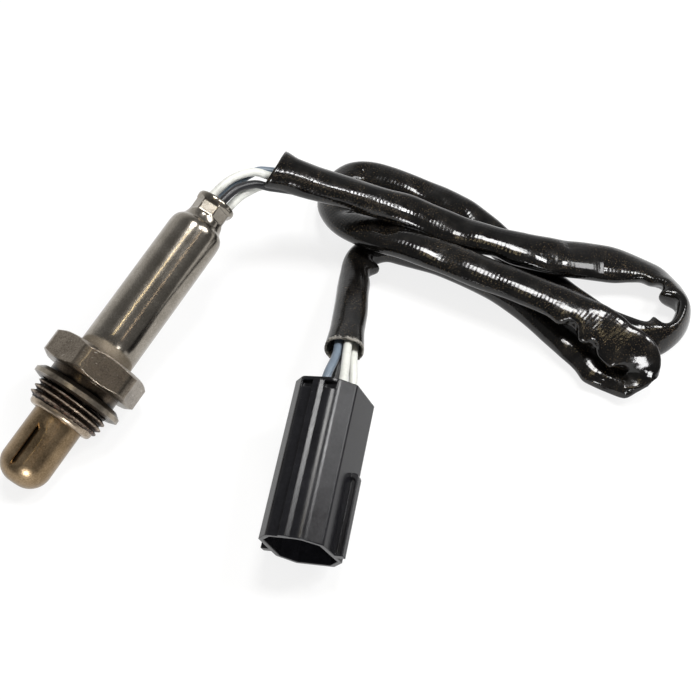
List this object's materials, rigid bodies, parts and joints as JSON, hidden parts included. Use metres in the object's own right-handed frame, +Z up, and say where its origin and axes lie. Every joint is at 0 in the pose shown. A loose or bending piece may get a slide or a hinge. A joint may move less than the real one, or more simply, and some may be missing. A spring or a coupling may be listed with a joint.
{
  "type": "oxygen sensor",
  "caption": "Heated exhaust oxygen sensor with hexagon, crush gasket, louvred shield, crimped tube, sleeved lead and hooded plug.",
  "frame": {"origin": "middle of the sensor, on the surface it lies on, the free lead and plug left out of the measure", "axes": "+X along the sensor from its shielded tip to its crimped neck, +Z up"},
  "size_m": [0.1353, 0.1197, 0.0294],
  "materials": {
    "shell_steel": "nickel-plated steel, warm grey-brown from heat",
    "gasket_steel": "folded steel, darkened",
    "shield_steel": "stainless steel with a bronze heat tint",
    "tube_steel": "drawn stainless steel, satin polish",
    "inner_steel": "bright stainless steel",
    "contact_nickel": "nickel alloy strip",
    "zirconia": "sintered zirconia",
    "alumina": "white alumina",
    "talc": "pressed talc powder",
    "grommet_rubber": "black fluoro rubber",
    "seal_rubber": "silicone rubber",
    "wire_black": "insulation, satin",
    "wire_white": "insulation, satin",
    "wire_grey": "insulation, satin",
    "sleeve_black": "woven glass fibre with a glossy black coating",
    "housing_black": "moulded black polyamide",
    "lock_black": "moulded",
    "pin_tin": "tinned copper alloy"
  },
  "bodies": {
    "root": {"centre_contact": "contact_nickel", "ceramic_bush": "alumina", "connector_housing": "housing_black", "contact_holder": "alumina", "disc_spring": "inner_steel", "front_wire_black": "wire_black", "front_wire_grey": "wire_grey", "front_wire_white_1": "wire_white", "front_wire_white_2": "wire_white", "gasket": "gasket_steel", "grommet": "grommet_rubber", "harness_sleeve": "sleeve_black", "heater_rod": "alumina", "inner_shield": "shield_steel", "outer_contact": "contact_nickel", "outer_shield": "shield_steel", "packing_ring": "inner_steel", "pin_black": "pin_tin", "pin_grey": "pin_tin", "pin_lock": "lock_black", "pin_white_1": "pin_tin", "pin_white_2": "pin_tin", "powder_seal": "talc", "rear_tube": "tube_steel", "rear_wire_black": "wire_black", "rear_wire_grey": "wire_grey", "rear_wire_white_1": "wire_white", "rear_wire_white_2": "wire_white", "seat_ring": "inner_steel", "sensing_thimble": "zirconia", "sensor_shell": "shell_steel", "spacer_tube": "inner_steel", "terminal_black": "contact_nickel", "terminal_grey": "contact_nickel", "terminal_white_1": "contact_nickel", "terminal_white_2": "contact_nickel", "wire_seal_black": "seal_rubber", "wire_seal_grey": "seal_rubber", "wire_seal_white_1": "seal_rubber", "wire_seal_white_2": "seal_rubber"}
  },
  "joints": []
}
